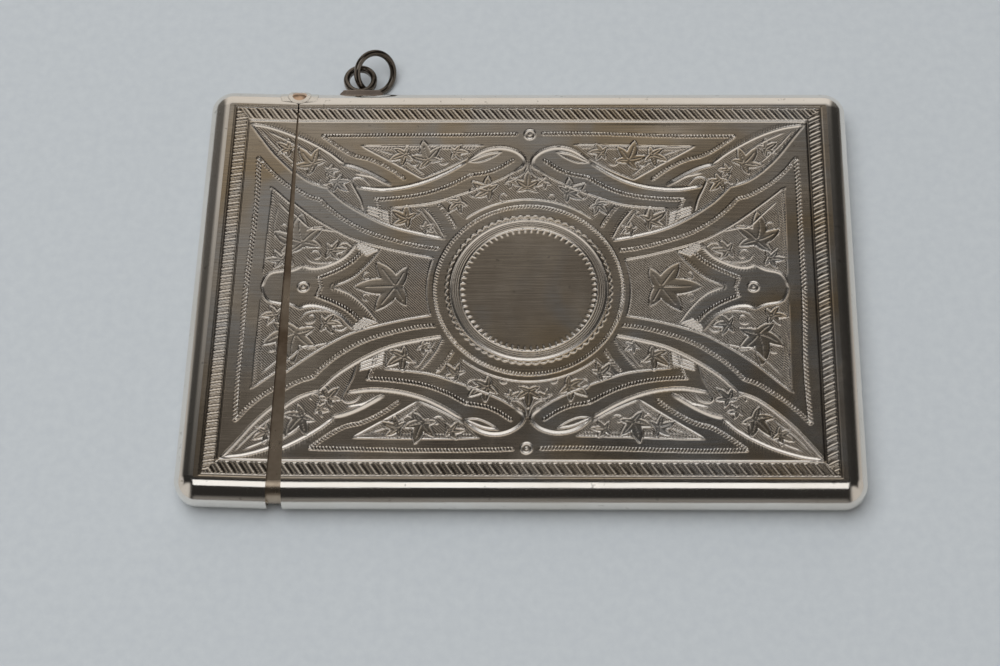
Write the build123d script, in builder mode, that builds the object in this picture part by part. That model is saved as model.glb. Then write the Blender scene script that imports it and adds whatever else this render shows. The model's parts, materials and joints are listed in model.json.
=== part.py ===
"""Silver visiting-card case with a hinged end lid, a chatelaine loop and a jump ring.

Millimetres. The case lies on its back face, z = 0, with the origin under the middle
of its outline. +X points to the closed end, the lid is at -X, the hinge and the loop
are on the +Y side, and +Z points out of the engraved front face.
"""

import os
from math import radians, sqrt, tan

from build123d import *

# Overall sizes of the closed case
case_length = 96.0
case_width = 67.2
case_thickness = 6.2
lid_length = 13.3
rim_land = 0.2
corner_extra = 0.4
wall = 0.5

# Fits
parting_gap = 0.12
solder_gap = 0.03
running_gap = 0.05
pin_press_gap = 0.01

# Hinge: three knuckles on one pin, its axis parallel to Z
hinge_inset = 1.0
barrel_radius = 1.7
body_knuckle_height = 1.8
bearer_radius = 2.84
bearer_stand = 0.3
bearer_floor = 1.37
bearer_top_angle = 35.0
pin_radius = 0.6
pin_head_radius = 1.08
pin_head_depth = 0.55
pin_dish_radius = 2.0
pin_dish_depth = 0.22
lid_ajar_angle = 1.8

# Mouth bezel: a hoop soldered in the body, its free edge entering the lid
bezel_thickness = 0.35
bezel_seat_length = 8.0
bezel_tongue_length = 5.0
tongue_side_gap = 0.3
tongue_face_gap = 0.1
bezel_notch_gap = 0.11
catch_pip_radius = 0.6
catch_pip_height = 0.14
catch_pip_setback = 2.5
catch_pip_round = 0.126

# Loop plate on the hinge side, its loop, and the jump ring
plate_centre_from_hinge = 9.33
plate_foot_length = 6.6
plate_ledge_length = 5.25
plate_stand = 0.8
plate_height = 2.9
plate_edge_radius = 0.25
loop_offset = -0.38
loop_outer_radius = 2.57
loop_band_thickness = 0.95
loop_band_width = 1.2
loop_sink = 0.12
loop_band_round = 0.38
jump_ring_radius = 3.1
jump_ring_wire_radius = 0.5
jump_ring_hang_gap = 0.76
jump_ring_hang = (-0.62, -0.78, 0)
jump_ring_lean = (0.785, 0.607, -0.12)
jump_ring_normal = (0.497, -0.496, 0.712)

# Places worked out from the sizes above
half_thickness = case_thickness / 2
edge_radius = half_thickness - rim_land
corner_radius = edge_radius + corner_extra
parting_x = lid_length - case_length / 2
body_mouth_x = parting_x + parting_gap / 2
lid_mouth_x = parting_x - parting_gap / 2
hinge_x = parting_x
hinge_y = case_width / 2 - hinge_inset
barrel_stand = barrel_radius - hinge_inset
rim_centre_y = case_width / 2 - edge_radius
cavity_side = case_width / 2 - wall
cavity_radius = edge_radius - wall
plate_x = hinge_x + plate_centre_from_hinge
plate_top_y = case_width / 2 + plate_stand
loop_centre = Vector(
    plate_x + loop_offset,
    plate_top_y + loop_outer_radius - loop_sink,
    half_thickness,
)
loop_hole_radius = loop_outer_radius - loop_band_thickness
wire_off_centre = loop_hole_radius - jump_ring_wire_radius - jump_ring_hang_gap
wire_in_loop = loop_centre + Vector(jump_ring_hang) * wire_off_centre
notch_radius = bearer_radius + solder_gap
seat_radius = barrel_radius + running_gap
joint_reach = 2 * bearer_radius
barrel_end_rise = half_thickness * sqrt(
    1 - ((hinge_y - rim_centre_y) / (edge_radius + barrel_stand)) ** 2
)
knuckle_low_z = half_thickness - body_knuckle_height / 2
knuckle_high_z = half_thickness + body_knuckle_height / 2

# The body is drawn on the case's own planes. The lid is drawn closed on planes that
# are then turned about the hinge by the angle at which it stands open.
hinge_turn = Location((hinge_x, hinge_y, 0), (0, 0, 1), -lid_ajar_angle)
lid_home = hinge_turn * Location((-hinge_x, -hinge_y, 0))
body_up = Plane.XY
body_down = Plane(origin=(0, 0, 0), x_dir=(1, 0, 0), z_dir=(0, 0, -1))
body_side = Plane.YZ
lid_up = Plane(lid_home * body_up.location)
lid_down = Plane(lid_home * body_down.location)
lid_side = Plane(lid_home * body_side.location)


def hollow_half(shell, seam_plane):
    """Add half of the whole case: a rounded tray, open at the seam, with a half-round rim."""
    with BuildSketch(seam_plane) as outline:
        RectangleRounded(case_length, case_width, corner_radius)
    tray = extrude(outline.sketch, amount=half_thickness)
    seam = seam_plane.location.position
    face_edges = tray.faces().sort_by(lambda f: abs((f.center() - seam).Z))[-1].edges()
    fillet(face_edges, edge_radius)
    mouth = shell.faces().sort_by(lambda f: abs((f.center() - seam).Z))[0]
    offset(amount=-wall, openings=mouth)


def cut_joint_notch(base_plane):
    """Cut the rim away where the joint stands: the bearers' outline and the barrel's."""
    with BuildSketch(base_plane) as notch:
        with Locations((hinge_x, hinge_y)):
            Circle(notch_radius)
        with Locations((hinge_x, hinge_y - bearer_floor - solder_gap)):
            Rectangle(
                2 * notch_radius,
                2 * notch_radius,
                align=(Align.CENTER, Align.MIN),
                mode=Mode.INTERSECT,
            )
        with Locations((hinge_x, hinge_y)):
            Circle(seat_radius)
    extrude(notch.sketch, amount=case_thickness, mode=Mode.SUBTRACT)


def trim_to_rim(side_plane, stand):
    """Keep what lies inside the rim's section, drawn out by a stand at its middle."""
    with BuildSketch(side_plane.offset(parting_x - joint_reach)) as section:
        with Locations((rim_centre_y, half_thickness)):
            Ellipse(edge_radius + stand, half_thickness)
            Rectangle(
                2 * edge_radius,
                case_thickness,
                align=(Align.MAX, Align.CENTER),
            )
    extrude(section.sketch, amount=2 * joint_reach, mode=Mode.INTERSECT)


def bearer_block(base_plane, side_plane, side):
    """Add the block that backs the joint on one side: +1 for the body, -1 for the lid."""
    near = side * parting_gap / 2
    with BuildSketch(base_plane) as outline:
        with Locations((hinge_x, hinge_y)):
            Circle(bearer_radius)
            Circle(seat_radius, mode=Mode.SUBTRACT)
            with BuildLine(Location((hinge_x, hinge_y))):
                Polyline(
                    (near, -bearer_floor),
                    (side * joint_reach, -bearer_floor),
                    (side * joint_reach, joint_reach * tan(radians(bearer_top_angle))),
                    (near, abs(near) * tan(radians(bearer_top_angle))),
                    close=True,
                )
            make_face(mode=Mode.INTERSECT)
    extrude(outline.sketch, amount=case_thickness)
    trim_to_rim(side_plane, bearer_stand)


def knuckle(base_plane, side_plane, low, high, bore):
    """Add a length of the joint's tube from one height to another."""
    with BuildSketch(base_plane.offset(low)) as tube:
        with Locations((hinge_x, hinge_y)):
            Circle(barrel_radius)
            Circle(bore, mode=Mode.SUBTRACT)
    extrude(tube.sketch, amount=high - low)
    trim_to_rim(side_plane, barrel_stand)


def head_plane(base_plane, end):
    """The plane on which the pin's head rests: end +1 at the front, -1 at the back."""
    return base_plane.offset(half_thickness + end * (barrel_end_rise - pin_head_depth))


def pin_head_socket(base_plane, end):
    """Open a knuckle's outer end for the pin's spread head."""
    with BuildSketch(head_plane(base_plane, end)) as socket:
        with Locations((hinge_x, hinge_y)):
            Circle(pin_head_radius + pin_press_gap)
    extrude(socket.sketch, amount=end * half_thickness, mode=Mode.SUBTRACT)


# Body: two stamped shells soldered rim to rim
with BuildPart() as body_front_shell:
    hollow_half(body_front_shell, body_up.offset(half_thickness))
    split(bisect_by=body_side.offset(body_mouth_x), keep=Keep.TOP)
    cut_joint_notch(body_up)
body_front_shell.part.label = "body_front_shell"

with BuildPart() as body_back_shell:
    hollow_half(body_back_shell, body_down.offset(-half_thickness))
    split(bisect_by=body_side.offset(body_mouth_x), keep=Keep.TOP)
    cut_joint_notch(body_up)
body_back_shell.part.label = "body_back_shell"

# Lid: the same two stampings, cut off at the parting line
with BuildPart() as lid_front_shell:
    hollow_half(lid_front_shell, lid_up.offset(half_thickness))
    split(bisect_by=lid_side.offset(lid_mouth_x), keep=Keep.BOTTOM)
    cut_joint_notch(lid_up)
lid_front_shell.part.label = "lid_front_shell"

with BuildPart() as lid_back_shell:
    hollow_half(lid_back_shell, lid_down.offset(-half_thickness))
    split(bisect_by=lid_side.offset(lid_mouth_x), keep=Keep.BOTTOM)
    cut_joint_notch(lid_up)
lid_back_shell.part.label = "lid_back_shell"

# Mouth bezel: seated in the body, standing clear of the lid as it swings
with BuildPart() as mouth_bezel:
    seat_side = cavity_side - solder_gap
    seat_face = half_thickness - wall - solder_gap
    tongue_far = cavity_side - tongue_side_gap
    tongue_face = half_thickness - wall - tongue_face_gap
    with BuildSketch(body_side.offset(body_mouth_x)):
        with Locations((0, half_thickness)):
            RectangleRounded(2 * seat_side, 2 * seat_face, cavity_radius - solder_gap)
    extrude(amount=bezel_seat_length)
    with BuildSketch(body_side.offset(body_mouth_x - bezel_tongue_length)):
        with Locations(((seat_side - tongue_far) / 2, half_thickness)):
            RectangleRounded(
                seat_side + tongue_far,
                2 * tongue_face,
                cavity_radius - tongue_face_gap,
            )
    extrude(amount=bezel_tongue_length)
    with BuildSketch(body_side.offset(body_mouth_x - bezel_tongue_length)):
        with Locations(((seat_side - tongue_far) / 2, half_thickness)):
            RectangleRounded(
                seat_side + tongue_far - 2 * bezel_thickness,
                2 * (tongue_face - bezel_thickness),
                cavity_radius - tongue_face_gap - bezel_thickness,
            )
    extrude(amount=bezel_tongue_length + bezel_seat_length, mode=Mode.SUBTRACT)
    with BuildSketch(body_up):
        with Locations((hinge_x, hinge_y)):
            Circle(notch_radius + bezel_notch_gap)
    extrude(amount=case_thickness, mode=Mode.SUBTRACT)
mouth_bezel.part.label = "mouth_bezel"

# Catch pip: a small dome on the far side of the tongue, which grips the closed lid
with BuildPart() as catch_pip:
    pip_plane = Plane(
        origin=(body_mouth_x - catch_pip_setback, -tongue_far, half_thickness),
        x_dir=(1, 0, 0),
        z_dir=(0, -1, 0),
    )
    with BuildSketch(pip_plane):
        Circle(catch_pip_radius)
    extrude(amount=catch_pip_height)
    fillet(catch_pip.faces().sort_by(Axis.Y)[0].edges(), catch_pip_round)
catch_pip.part.label = "catch_pip"

# Bearers: the blocks in which the joint's tubes lie
with BuildPart() as body_joint_bearer:
    bearer_block(body_up, body_side, 1)
body_joint_bearer.part.label = "body_joint_bearer"

with BuildPart() as lid_joint_bearer:
    bearer_block(lid_up, lid_side, -1)
lid_joint_bearer.part.label = "lid_joint_bearer"

# Knuckles: the middle one is the body's, the outer two are the lid's
with BuildPart() as body_knuckle:
    knuckle(body_up, body_side, knuckle_low_z, knuckle_high_z, pin_radius + running_gap)
body_knuckle.part.label = "body_knuckle"

with BuildPart() as lid_knuckle_front:
    knuckle(
        lid_up,
        lid_side,
        knuckle_high_z + running_gap,
        case_thickness,
        pin_radius + pin_press_gap,
    )
    pin_head_socket(lid_up, 1)
lid_knuckle_front.part.label = "lid_knuckle_front"

with BuildPart() as lid_knuckle_back:
    knuckle(
        lid_up,
        lid_side,
        0,
        knuckle_low_z - running_gap,
        pin_radius + pin_press_gap,
    )
    pin_head_socket(lid_up, -1)
lid_knuckle_back.part.label = "lid_knuckle_back"

# Hinge pin: a wire through the knuckles, its ends spread and dished
with BuildPart() as hinge_pin:
    with BuildSketch(lid_up) as shank:
        with Locations((hinge_x, hinge_y)):
            Circle(pin_radius)
    extrude(amount=case_thickness)
    for end in (1, -1):
        with BuildSketch(head_plane(lid_up, end)):
            with Locations((hinge_x, hinge_y)):
                Circle(pin_head_radius)
        extrude(amount=end * half_thickness)
    trim_to_rim(lid_side, barrel_stand - solder_gap)
    for end in (1, -1):
        dish_z = half_thickness + end * (barrel_end_rise - pin_dish_depth + pin_dish_radius)
        with Locations(lid_home * Location((hinge_x, hinge_y, dish_z))):
            Sphere(pin_dish_radius, mode=Mode.SUBTRACT)
hinge_pin.part.label = "hinge_pin"

# Loop plate: a tapered foot soldered to the case's rim
with BuildPart() as ring_plate:
    with BuildSketch(body_up.offset(half_thickness - plate_height / 2)):
        with BuildLine():
            Polyline(
                (plate_x - plate_foot_length / 2, rim_centre_y),
                (plate_x - plate_foot_length / 2, case_width / 2),
                (plate_x - plate_ledge_length / 2, plate_top_y),
                (plate_x + plate_ledge_length / 2, plate_top_y),
                (plate_x + plate_foot_length / 2, case_width / 2),
                (plate_x + plate_foot_length / 2, rim_centre_y),
                close=True,
            )
        make_face()
    extrude(amount=plate_height)
    ledge_edges = ring_plate.faces().sort_by(Axis.Y)[-1].edges()
    fillet(ledge_edges, plate_edge_radius)
    with BuildSketch(body_side.offset(plate_x - plate_foot_length)):
        with Locations((rim_centre_y, half_thickness)):
            RectangleRounded(
                2 * (edge_radius + solder_gap),
                case_thickness + 2 * solder_gap,
                edge_radius,
            )
    extrude(amount=2 * plate_foot_length, mode=Mode.SUBTRACT)
ring_plate.part.label = "ring_plate"

# Loop: a band bent into a ring, its foot filed flat and soldered on the plate
with BuildPart() as ring_loop:
    loop_middle = loop_outer_radius - loop_band_thickness / 2
    with BuildSketch(Plane.XZ.offset(-loop_centre.Y)) as band:
        with Locations((loop_centre.X + loop_middle, loop_centre.Z)):
            RectangleRounded(
                loop_band_thickness,
                loop_band_width,
                loop_band_round,
            )
    revolve(axis=Axis(loop_centre, (0, 0, 1)))
    split(bisect_by=Plane.XZ.offset(-plate_top_y - solder_gap), keep=Keep.BOTTOM)
ring_loop.part.label = "ring_loop"

# Jump ring: round wire, hanging slantwise in the loop
with BuildPart() as jump_ring:
    ring_plane = Plane(
        origin=wire_in_loop + Vector(jump_ring_lean).normalized() * jump_ring_radius,
        z_dir=jump_ring_normal,
    )
    with Locations(ring_plane):
        Torus(jump_ring_radius, jump_ring_wire_radius)
jump_ring.part.label = "jump_ring"

pieces = (
    body_front_shell,
    body_back_shell,
    lid_front_shell,
    lid_back_shell,
    mouth_bezel,
    catch_pip,
    body_joint_bearer,
    lid_joint_bearer,
    body_knuckle,
    lid_knuckle_front,
    lid_knuckle_back,
    hinge_pin,
    ring_plate,
    ring_loop,
    jump_ring,
)
os.makedirs("parts", exist_ok=True)
for piece in pieces:
    export_step(piece.part, f"parts/{piece.part.label}.step")
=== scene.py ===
"""Silver visiting-card case: engraved face, half-round rims, hinged end lid, loop and jump ring.

Sizes are in millimetres inside the functions and become metres where a mesh is made.
The frame gives every place: the case lies on its back, the lid is at -X, the hinge and
the loop are on the +Y side, and the engraved face looks up.
"""

import json
import math

import bpy
import numpy as np
from mathutils import Matrix, Vector


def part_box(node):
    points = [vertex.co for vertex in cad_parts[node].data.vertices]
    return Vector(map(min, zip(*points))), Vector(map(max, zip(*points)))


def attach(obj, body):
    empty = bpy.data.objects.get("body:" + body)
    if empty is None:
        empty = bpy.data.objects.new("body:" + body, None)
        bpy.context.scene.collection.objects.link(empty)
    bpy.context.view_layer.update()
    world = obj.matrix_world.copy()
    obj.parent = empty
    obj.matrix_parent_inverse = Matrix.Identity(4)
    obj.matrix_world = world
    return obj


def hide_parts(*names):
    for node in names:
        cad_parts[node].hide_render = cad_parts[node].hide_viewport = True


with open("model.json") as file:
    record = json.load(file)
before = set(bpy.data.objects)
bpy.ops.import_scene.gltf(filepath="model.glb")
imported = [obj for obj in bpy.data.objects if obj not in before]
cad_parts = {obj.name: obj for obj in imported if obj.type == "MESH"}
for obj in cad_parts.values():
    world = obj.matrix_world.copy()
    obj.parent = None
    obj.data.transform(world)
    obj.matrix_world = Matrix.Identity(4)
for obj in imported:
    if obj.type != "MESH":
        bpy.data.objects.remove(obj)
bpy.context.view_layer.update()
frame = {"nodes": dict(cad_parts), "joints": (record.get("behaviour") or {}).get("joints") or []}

MM = 0.001


def node_box(node):
    """Lowest and highest corner of a CAD node, in millimetres."""
    low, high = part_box(node)
    return np.array(low) / MM, np.array(high) / MM


# Sizes and places read from the frame
body_low, body_high = node_box("body_front_shell")
half_length = body_high[0]
half_width = body_high[1]
thickness = body_high[2]
seam_z = body_low[2]
mouth_x = body_low[0]
joint = {j["name"]: j for j in frame["joints"]}
hinge = np.array(joint["lid_hinge"]["pos_m"]) / MM
ajar = math.radians(joint["lid_hinge"]["range_deg"][0])

# Sizes of the sheet, as in the shells
wall = 0.5
rim_land = 0.2
corner_extra = 0.4
rim_radius = seam_z - rim_land
flat_x = half_length - rim_radius
flat_y = half_width - rim_radius
lid_mouth_x = 2 * hinge[0] - mouth_x
notch_radius = 2.87
seat_radius = 1.75
bearer_floor = 1.40

cell = 0.105


# ---------------------------------------------------------------- curves and cuts

span_steps = 10


def smooth_curve(points):
    """Catmull-Rom curve through the points, each span in equal steps of its parameter.
    Two points give a straight line."""
    p = np.array(points, float)
    if len(p) == 2:
        return p
    p = np.vstack([2 * p[0] - p[1], p, 2 * p[-1] - p[-2]])
    t = np.linspace(0, 1, span_steps, endpoint=False)[:, None]
    a, b, c, d = (p[k: len(p) - 3 + k, None, :] for k in range(4))
    span = 0.5 * (2 * b + (c - a) * t + (2 * a - 5 * b + 4 * c - d) * t ** 2
                  + (3 * b - a - 3 * c + d) * t ** 3)
    return np.vstack([span.reshape(-1, 2), p[-2]])


class Face:
    """The engraver's plate: sample points, the depth cut so far, and what each cut leaves.

    x and y are the closed case's own coordinates. u and v are the same points folded
    into one quarter of the pattern, after a slow warp that makes the quarters differ
    a little, as hand work does.
    """

    def __init__(self, x, y):
        self.x, self.y = x, y
        wx = x + 0.16 * np.sin(0.16 * y + 0.09 * x) + 0.08 * np.sin(0.41 * x - 0.3 * y)
        wy = y + 0.16 * np.sin(0.13 * x - 0.11 * y + 1) + 0.07 * np.sin(0.37 * y + 0.2 * x)
        self.u = np.abs(wx - 0.1)
        self.v = np.abs(wy + 0.3)
        self.depth = np.zeros_like(x)
        self.bright = np.zeros_like(x)
        self.ground = np.zeros_like(x)
        self.dark = np.zeros_like(x)

    def cut(self, where, depth, bright=1.0, dark=0.0):
        """Deepen the plate to a depth at some samples and mark them as clean cut metal,
        or as painted shade where a cut's wall or a gap beside it would lie in shadow."""
        deeper = depth > self.depth[where]
        index = where[deeper]
        self.depth[index] = depth[deeper]
        self.bright[index] = np.broadcast_to(bright, deeper.shape)[deeper]
        self.dark[index] = np.broadcast_to(dark, deeper.shape)[deeper]

    def smooth(self, where):
        """Give some samples back their plain surface."""
        for layer in (self.depth, self.bright, self.ground, self.dark):
            layer[where] = 0

    def along(self, line, reach):
        """Samples within reach of a line: their index, signed distance and arc length."""
        px, py = self.u, self.v
        low, high = line.min(0) - reach, line.max(0) + reach
        box = np.flatnonzero((px > low[0]) & (px < high[0]) & (py > low[1]) & (py < high[1]))
        if not len(box):
            return box, np.zeros(0), np.zeros(0)
        start, step = line[:-1], np.diff(line, axis=0)
        length = np.hypot(*step.T)
        run = np.concatenate([[0], np.cumsum(length)[:-1]])
        best = np.full(len(box), np.inf)
        side = np.zeros(len(box))
        arc = np.zeros(len(box))
        for (ax, ay), (sx, sy), span, before in zip(start, step, length, run):
            rx, ry = px[box] - ax, py[box] - ay
            t = np.clip((rx * sx + ry * sy) / span ** 2, 0, 1)
            dist = np.hypot(rx - t * sx, ry - t * sy)
            closer = dist < best
            best[closer] = dist[closer]
            side[closer] = np.sign(sx * ry - sy * rx)[closer]
            arc[closer] = (before + t * span)[closer]
        near = best < reach
        return box[near], (best * side)[near], arc[near]


def groove(face, points, width, depth, lean=0.0, bright=1.0, taper=1.2):
    """A V cut along a curve. Lean moves its bottom to one side, from -1 to 1, which
    leaves one broad bright slope and one steep one. The ends run out over a taper."""
    line = smooth_curve(points)
    where, d, s = face.along(line, width / 2)
    if not len(where):
        return
    total = np.hypot(*np.diff(line, axis=0).T).sum()
    half = width / 2
    bottom = lean * half
    slope = np.where(d < bottom, (d + half) / (bottom + half + 1e-9), (half - d) / (half - bottom + 1e-9))
    ends = np.clip(np.minimum(s, total - s) / taper + 0.25, 0, 1)
    # Painted shade: the steep slope loses most of its brightness and is painted dark, while the broad
    # slope stays bright.
    steep = np.abs(lean) * ((d - bottom) * np.sign(lean) > -0.12 * half)
    face.cut(where, depth * slope * ends, bright * (1 - 0.8 * steep), 0.9 * steep)


def wriggle(face, points, width=0.56, pitch=0.47):
    """The rocking tool's line: a fine cut along one side, and slanted nicks running
    across from it at a steady pitch, narrow at their far ends."""
    where, d, s = face.along(smooth_curve(points), width / 2)
    if not len(where):
        return
    edge = 1 - np.abs(d - 0.32 * width) / (0.16 * width)
    across = np.clip(1.25 - np.abs(2 * d / width) ** 2, 0, 1)
    nick = np.clip(1.9 * np.cos(2 * math.pi * (s + 0.7 * d) / pitch) - 0.45, 0, 1)
    value = np.maximum(np.clip(edge, 0, 1) * 0.4, nick * across)
    # Painted shade: the plate between the nicks is painted dark.
    face.cut(where, 0.01 + 0.13 * value, np.clip(value * 1.6, 0, 1), 0.9 * (value < 0.25))


def comb(face, points, reach, side, pitch):
    """Short shading strokes on one side of a curve, each fading as it leaves the curve."""
    where, d, s = face.along(smooth_curve(points), reach)
    d = d * side
    stroke = np.clip(1.8 * np.cos(2 * math.pi * (s + 0.5 * d) / pitch) - 0.7, 0, 1)
    value = stroke * np.clip(1 - d / reach, 0, 1) * (d > 0)
    # Painted shade: the plate between the strokes is painted half dark.
    between = (value < 0.05) * (d > 0)
    face.cut(where, 0.06 * value, 0.8 * np.clip(2 * value, 0, 1), 0.5 * between)


def inside(face, outline):
    """Samples inside a closed outline of the folded pattern, by the even-odd rule."""
    poly = np.array(outline, float)
    low, high = poly.min(0), poly.max(0)
    wide = (face.u > low[0]) & (face.u < high[0])
    box = np.flatnonzero(wide & (face.v > low[1]) & (face.v < high[1]))
    px, py = face.u[box], face.v[box]
    odd = np.zeros(len(box), bool)
    for (ax, ay), (bx, by) in zip(poly, np.roll(poly, -1, axis=0)):
        if ay != by:
            crosses = (ay > py) != (by > py)
            odd ^= crosses & (px < (bx - ax) * (py - ay) / (by - ay) + ax)
    return box[odd]


def leaf(face, u, v, size, heading, curl):
    """An ivy leaf: five almond lobes fanned from a point behind the stalk. A lobe's half
    width swells and tapers along it, the leaf is where any lobe is, and its outline and
    one vein to each tip are cut. The blade is left smooth and dips a little to its edge."""
    du, dv = face.u - u, face.v - v
    near = np.flatnonzero(np.hypot(du, dv) < 1.3 * size)
    if not len(near):
        return
    du, dv = du[near], dv[near]
    bent = np.radians(heading) + curl * np.hypot(du, dv) / size
    along, across = du * np.cos(bent) + dv * np.sin(bent), dv * np.cos(bent) - du * np.sin(bent)
    gap = np.full(len(near), 9.0)
    vein = np.full(len(near), 9.0)
    for turn, length, width in ((0, 1.0, 0.34), (56, 0.82, 0.28), (-56, 0.82, 0.28),
                                (118, 0.60, 0.23), (-118, 0.60, 0.23)):
        c, s = math.cos(math.radians(turn)), math.sin(math.radians(turn))
        forward, off = along * c + across * s, np.abs(across * c - along * s)
        tail = 0.22 * size
        t = np.clip((forward + tail) / (length * size + tail), 0, 1)
        swell = 2.05 * width * size * t ** 0.75 * (1 - t) ** 0.85
        lobe = np.where((t > 0) & (t < 1), off - swell, 9.0)
        gap = np.minimum(gap, lobe)
        rib = (forward > 0.06 * size) & (forward < 0.72 * length * size)
        vein = np.minimum(vein, np.where(rib, off * (1 + 0.6 * t), 9.0))
    blade = gap < 0
    face.smooth(near[blade])
    face.depth[near[blade]] = 0.016 * np.clip(1 + gap[blade] / (0.16 * size), 0, 1) ** 2
    line = 0.12
    rim_cut = np.abs(gap) < line
    face.cut(near[rim_cut], 0.10 * (1 - np.abs(gap[rim_cut]) / line), 0.9)
    # Painted shadow: a dark ring on the plate just outside each leaf's outline.
    shadow = (gap > 0.10) & (gap < 0.24)
    face.dark[near[shadow]] = 0.9
    face.cut(near[vein < 0.09], 0.06 * (1 - vein[vein < 0.09] / 0.09), 0.6)


def hatch(face, where, angle, pitch, depth, bright=0.6):
    """Straight parallel V cuts at an angle, over the chosen samples."""
    a = math.radians(angle)
    t = face.u[where] * math.cos(a) + face.v[where] * math.sin(a)
    saw = np.abs((t / pitch) % 1 - 0.5) * 2
    face.cut(where, depth * saw, bright)


# ---------------------------------------------------------------- the pattern's lines
# One quarter of it, from the middle of the face outwards, in millimetres.

medallion_x, medallion_y = 0.18, -0.58
medallion_teeth = 33
rocked_radius, rocked_nicks = 13.72, 184
ring_radius = 14.9
frame_x, frame_y = 44.2, 30.25
band_x, band_y = 2.25, 2.5

long_strap_top = [(14.0, 4.5), (17.5, 5.2), (21.5, 6.3), (25.4, 7.6), (28.4, 9.2), (31.4, 11.2),
                  (34.4, 13.6), (37.8, 16.5)]
long_strap_wriggle = [(12.1, 6.0), (16, 6.5), (20, 7.6), (24, 9.1), (27.4, 11.2), (29.6, 13.2),
                      (30.8, 14.6)]
long_strap_wriggle_end = [(30.8, 14.6), (33, 15.4), (36, 17.4), (38.2, 19.4), (39.8, 21.3)]
long_strap_foot = [(12.5, 7.9), (16, 8.7), (20, 9.9), (24, 11.9), (27.2, 14.1), (29.0, 15.9),
                   (29.8, 16.8)]
almond_top = [(29.8, 16.8), (32.5, 17.8), (35, 19.6), (37.5, 22.1), (39.6, 24.8), (41.5, 27.3)]
almond_foot = [(41.5, 27.3), (38.5, 26.8), (35, 25.6), (31.8, 24.0), (29.4, 22.5), (27.6, 21.0)]
almond_shoulder = [(27.6, 20.8), (25.6, 20.2), (23.4, 19.1), (20.6, 17.3)]
scroll_strap_top = [(1.8, 19.4), (3.8, 18.0), (7, 16.4), (10.6, 15.0), (14.2, 13.9), (18, 13.4),
                    (20.4, 13.2)]
scroll_strap_wriggle = [(2.4, 21.2), (4.4, 19.8), (6.2, 19.0), (8.6, 18.5)]
scroll_strap_wriggle_end = [(8.6, 18.5), (11, 17.1), (13.6, 16.0), (16.4, 15.3), (19.4, 14.9),
                            (22.7, 14.7)]
scroll_strap_foot = [(9.4, 20.7), (12, 19.0), (15, 17.6), (18.4, 16.7), (22, 16.4), (25.4, 16.9)]
scroll_head = [(1.8, 19.4), (0.7, 20.4), (0.8, 21.6), (2.0, 22.7), (3.8, 23.3), (5.6, 23.2),
               (7.2, 22.5), (8.6, 21.2)]
hook = [(24.6, 12.8), (25.0, 14.6), (25.8, 16.4), (26.3, 17.8), (25.6, 18.5), (24.4, 18.2),
        (23.6, 17.2)]
side_arc_foot = [(25.4, 7.0), (27.2, 4.9), (29.6, 3.6), (31.6, 3.2), (33.2, 3.6)]
side_cusp = [(33.2, 3.6), (34.6, 2.9), (36.6, 2.4), (37.4, 1.5), (37.8, 0.0)]
side_arc_top = [(21.8, 6.0), (23.6, 3.6), (25.8, 1.4), (28.4, 0.1)]
side_arc_wriggle = [(24.6, 5.6), (26, 4.1), (28, 2.8), (30.8, 1.5)]
ring_panel_side = [(12.5, 8.1), (13.3, 10.0), (14.2, 11.6), (15.4, 13.2)]
long_triangle = [(9.2, 21.4), (15.6, 18.1), (24.8, 23.9), (6.8, 23.8)]


def hatch_grounds(face):
    """Mark the panels whose ground is covered in fine strokes."""
    ring = [(ring_radius * math.cos(a), ring_radius * math.sin(a) - 0.2)
            for a in np.radians([90, 80, 70, 60, 50])]
    panels = (
        [(15.2, 0), (14.6, 4.4)] + long_strap_top[1:3] + side_arc_top + [(28.4, 0)],
        long_strap_top[3:] + [(37.8, 2.0)] + side_cusp[::-1][1:] + side_arc_foot[::-1],
        long_strap_foot[:4] + [(24.2, 13.2), (20.2, 13.2), (15.4, 13.6)] + ring_panel_side[::-1],
        ring + [(12.4, 14.3)] + scroll_strap_top[::-1][2:] + [(0, 19.0)],
        long_triangle,
        [(24.8, 13.0)] + long_strap_foot[4:] + almond_top + almond_foot + [(26.3, 18.2)],
        almond_shoulder + [(25.4, 16.9), (26.3, 18.4)],
    )
    for outline in panels:
        face.ground[inside(face, outline)] = 1.0


def engrave_leaves(face):
    """Leaves in the panels, the large ones first and the small ones in the corners."""
    for u, v, size, heading, curl in (
        (19.6, 0.0, 5.9, 0, 0.0), (33.4, 7.6, 4.8, 68, 0.35), (29.2, 6.1, 2.4, 190, -0.3),
        (35.4, 4.7, 2.3, -15, 0.3), (17.8, 11.3, 2.9, 20, 0.25), (15.2, 9.6, 1.6, 150, 0.0),
        (5.8, 15.9, 3.0, 15, 0.3), (0.0, 16.6, 2.9, 90, 0.0), (2.6, 17.6, 1.6, 200, 0.3),
        (10.2, 13.9, 2.2, -30, -0.3), (14.8, 21.4, 3.5, 62, 0.2), (18.4, 22.3, 2.6, -12, -0.2),
        (10.8, 22.6, 2.1, 165, 0.3), (32.2, 20.9, 3.5, 38, 0.25), (28.4, 17.9, 2.4, 245, -0.3),
        (35.6, 23.3, 2.2, 30, 0.0), (29.7, 19.6, 1.7, 160, 0.2),
    ):
        leaf(face, u, v, size, heading, curl)


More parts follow.
